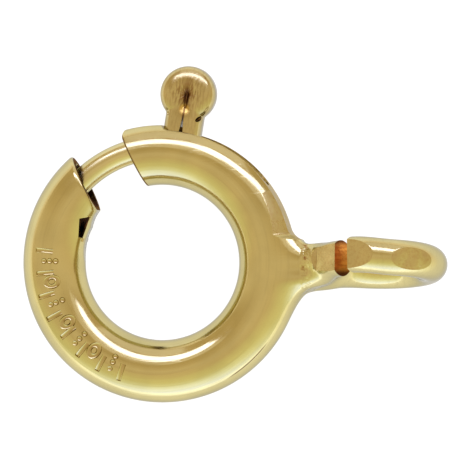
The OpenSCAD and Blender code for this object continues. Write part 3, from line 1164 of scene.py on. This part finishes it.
def spring_steel(f):
    metal = Metal("Spring steel", f.spring_steel, 0.3)
    metal.paint(fade(metal.tree, metal.noise(5.0, 3.0), 0.5, 0.7, 0.0, 0.4), (0.22, 0.19, 0.16))
    metal.dents(0.05, 0.0006)
    metal.finish()


class CLASP_OT_finishes(bpy.types.Operator):
    """Makes the metals' finishes"""
    bl_idname = "clasp.finishes"
    bl_label = "Finishes"

    def execute(self, context):
        s, f = sizes(), context.scene.clasp_finish
        ring_gold(s, f)
        # Each worked gold: its name, its tint, its roughness, the size and depth of its dents, and its edge.
        for finish in (("Pressed gold", (0.93, 0.88, 0.85), 0.22, 0.22, 0.010, GOLD_EDGE),
                       ("Filed gold", (0.86, 0.82, 0.74), 0.30, 0.3, 0.004, (0.64, 0.58, 0.48)),
                       ("Browned edge", (0.36, 0.27, 0.2), 0.4, 0.1, 0.003, (0.25, 0.17, 0.1)),
                       # Near black: painted shade in the nick.
                       ("Nicked gold", (0.14, 0.08, 0.04), 0.45, 0.1, 0.003, (0.2, 0.12, 0.07))):
            worked_gold(f, *finish)
        bolt_gold(f)
        pin_gold(s, f)
        cut_metal(f)
        spring_steel(f)
        return {"FINISHED"}


# The stage

def pale_table(paper):
    """A glowing table, evenly white round the clasp. Further away its glow takes the room's tones, warm
    behind and bright in front, as painted light that the metal reflects."""
    material = bpy.data.materials.new("Pale table")
    material.use_nodes = True
    tree = material.node_tree
    shader = tree.nodes["Principled BSDF"]
    shader.inputs["Base Color"].default_value = (*paper, 1)
    shader.inputs["Roughness"].default_value = 0.6
    middle_x, middle_y, white_to, room_from = 1.6, 0.6, 7.3, 14.0
    place = node(tree, "Mapping", {"Vector": node(tree, "TexCoord", output="Object"),
                                   "Scale": (1 / MM, 1 / MM, 1 / MM), "Location": (-middle_x, -middle_y, 0)})
    reach = node(tree, "VectorMath", {0: place}, output="Value", operation="LENGTH")
    far = fade(tree, reach, white_to, room_from)
    behind = separated(tree, node(tree, "VectorMath", {0: place}, operation="NORMALIZE"))["Y"]
    distant = ramp(tree, behind, ((-0.9, (1.7, 1.85, 2.3)), (-0.6, (1.34, 1.38, 1.3)),
                                  (-0.2, (1.1, 1.05, 0.85)), (0.1, (0.97, 0.84, 0.66)),
                                  (0.6, (0.86, 0.74, 0.58))))
    feed(tree, shader.inputs["Emission Color"], blend(tree, far, (0.99, 1, 1.02, 1), distant))
    shader.inputs["Emission Strength"].default_value = 0.9
    return material


def studio_world():
    """A room that is bright and cool in front of the clasp, and dim and warm behind and above it."""
    world = bpy.data.worlds.new("Studio")
    world.use_nodes = True
    tree = world.node_tree
    brightest = (0.082, -0.936, -0.342)
    towards = node(tree, "VectorMath", {0: node(tree, "TexCoord", output="Generated"), 1: brightest},
                   output="Value", operation="DOT_PRODUCT")
    room = ramp(tree, towards, (
        (-0.6, (0.71, 0.54, 0.30)), (-0.34, (0.90, 0.74, 0.51)), (-0.1, (0.87, 0.70, 0.45)),
        (0.2, (0.96, 0.87, 0.52)), (0.4, (1.03, 0.98, 0.60)), (0.6, (1.21, 1.24, 1.0)),
        (0.75, (1.41, 1.54, 1.78)), (0.9, (1.58, 1.79, 2.65))))
    feed(tree, tree.nodes["Background"].inputs["Color"], room)
    return world


def area_light(name, azimuth, zenith, distance, size, radiance, rgb):
    """A soft box that faces the clasp, placed by its direction, with the brightness of its surface."""
    out = on_ray(azimuth, math.sin(math.radians(zenith)), math.cos(math.radians(zenith)))
    light = bpy.data.lights.new(name, "AREA")
    light.shape, light.size, light.size_y = "RECTANGLE", size[0], size[1]
    light.energy, light.color = radiance * math.pi * size[0] * size[1], rgb
    holder = linked(name, light)
    holder.location = out * distance
    holder.rotation_euler = (-out).to_track_quat("-Z", "Y").to_euler()
    holder.visible_camera = False


def camera_above():
    """A camera that looks straight down from far enough for the clasp to fall as it does in the photo."""
    sensor, distance = 36, 0.2
    camera = bpy.data.cameras.new("Camera")
    camera.sensor_width = sensor
    camera.lens = sensor * distance / (PICTURE * PIXEL)
    camera.clip_start, camera.clip_end = 0.01, 2
    holder = linked("Camera", camera)
    holder.location = ((PICTURE / 2 - RING_IN_PICTURE[0]) * PIXEL, (RING_IN_PICTURE[1] - PICTURE / 2) * PIXEL,
                       distance)
    return holder


class CLASP_OT_stage(bpy.types.Operator):
    """Sets the table, the light and the camera"""
    bl_idname = "clasp.stage"
    bl_label = "Stage"

    def execute(self, context):
        scene = context.scene
        table_side, below = 0.6, 0.02 * MM
        low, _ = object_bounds()
        bpy.ops.mesh.primitive_plane_add(size=table_side, location=(0, 0, low.z - below))
        table = added("table")
        table.data.materials.append(pale_table(scene.clasp_finish.paper))
        table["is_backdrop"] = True
        scene.world = studio_world()
        # Each light: its name, its direction round the clasp and down from overhead, its distance and its
        # two sides in metres, its brightness and its colour.
        for light in (("strip", 84, 46, 0.35, (0.62, 0.105), 4.4, (0.5, 0.56, 1)),
                      ("strip glow", 84, 30, 0.35, (0.55, 0.08), 0.4, (0.7, 0.75, 1)),
                      ("back wall", 85, 74, 0.4, (0.45, 0.2), 0.5, (0.6, 0.7, 1))):
            area_light(*light)
        scene.camera = camera_above()
        scene.view_settings.view_transform = "Standard"
        return {"FINISHED"}


# The add-on

class CLASP_PT_panel(bpy.types.Panel):
    """Lists the clasp's sizes and pieces"""
    bl_label = "Spring ring clasp"
    bl_idname = "CLASP_PT_panel"
    bl_space_type = "VIEW_3D"
    bl_region_type = "UI"
    bl_category = "Clasp"

    def draw(self, context):
        for group in (context.scene.clasp_sizes, context.scene.clasp_finish):
            column = self.layout.column()
            for key in group.__annotations__:
                column.prop(group, key)
        for operator in OPERATORS:
            self.layout.operator(operator.bl_idname)


OPERATORS = (CLASP_OT_stage, CLASP_OT_finishes, CLASP_OT_ring_shell, CLASP_OT_bolt, CLASP_OT_pin,
             CLASP_OT_spring)
CLASSES = (ClaspSizes, ClaspFinish, *OPERATORS, CLASP_PT_panel)


def register():
    for cls in CLASSES:
        bpy.utils.register_class(cls)
    bpy.types.Scene.clasp_sizes = PointerProperty(type=ClaspSizes)
    bpy.types.Scene.clasp_finish = PointerProperty(type=ClaspFinish)


def unregister():
    del bpy.types.Scene.clasp_finish
    del bpy.types.Scene.clasp_sizes
    for cls in reversed(CLASSES):
        bpy.utils.unregister_class(cls)


def main():
    register()
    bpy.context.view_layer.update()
    bpy.ops.clasp.stage()
    bpy.ops.clasp.finishes()
    bpy.ops.clasp.ring_shell()
    bpy.ops.clasp.bolt()
    bpy.ops.clasp.pin()
    bpy.ops.clasp.spring()
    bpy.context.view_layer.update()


if __name__ == "__main__":
    main()
